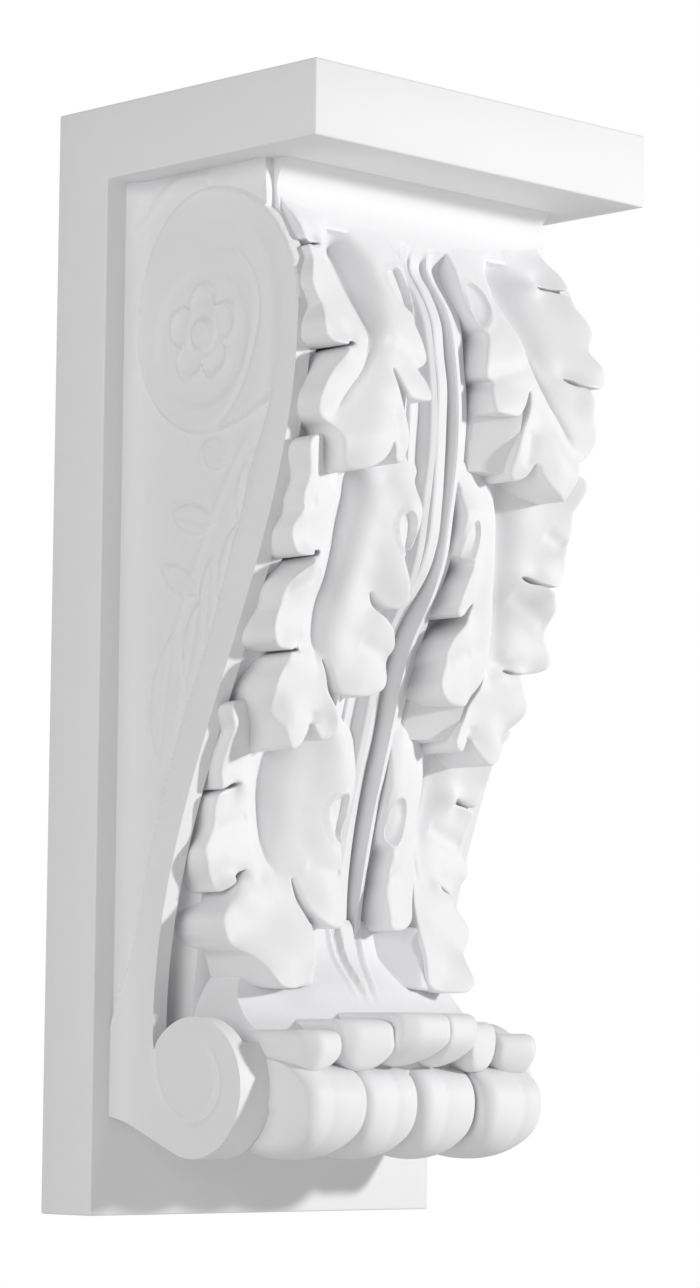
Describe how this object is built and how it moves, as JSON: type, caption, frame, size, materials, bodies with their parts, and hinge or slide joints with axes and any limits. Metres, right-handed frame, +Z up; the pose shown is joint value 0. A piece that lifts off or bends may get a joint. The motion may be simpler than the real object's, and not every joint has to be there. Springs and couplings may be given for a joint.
{
  "type": "scroll console bracket",
  "caption": "Moulded scroll bracket with an acanthus leaf front, fixed flat to a wall to dress or carry the end of a shelf or beam.",
  "frame": {"origin": "middle of the flat back face that goes on the wall", "axes": "+X across the bracket, +Y into the wall, +Z up along its longest side"},
  "size_m": [0.128, 0.1015, 0.3],
  "materials": {
    "white_primer": "matt white factory primer over a rigid moulded foam"
  },
  "bodies": {
    "root": {"console_bracket": "white_primer"}
  },
  "joints": []
}
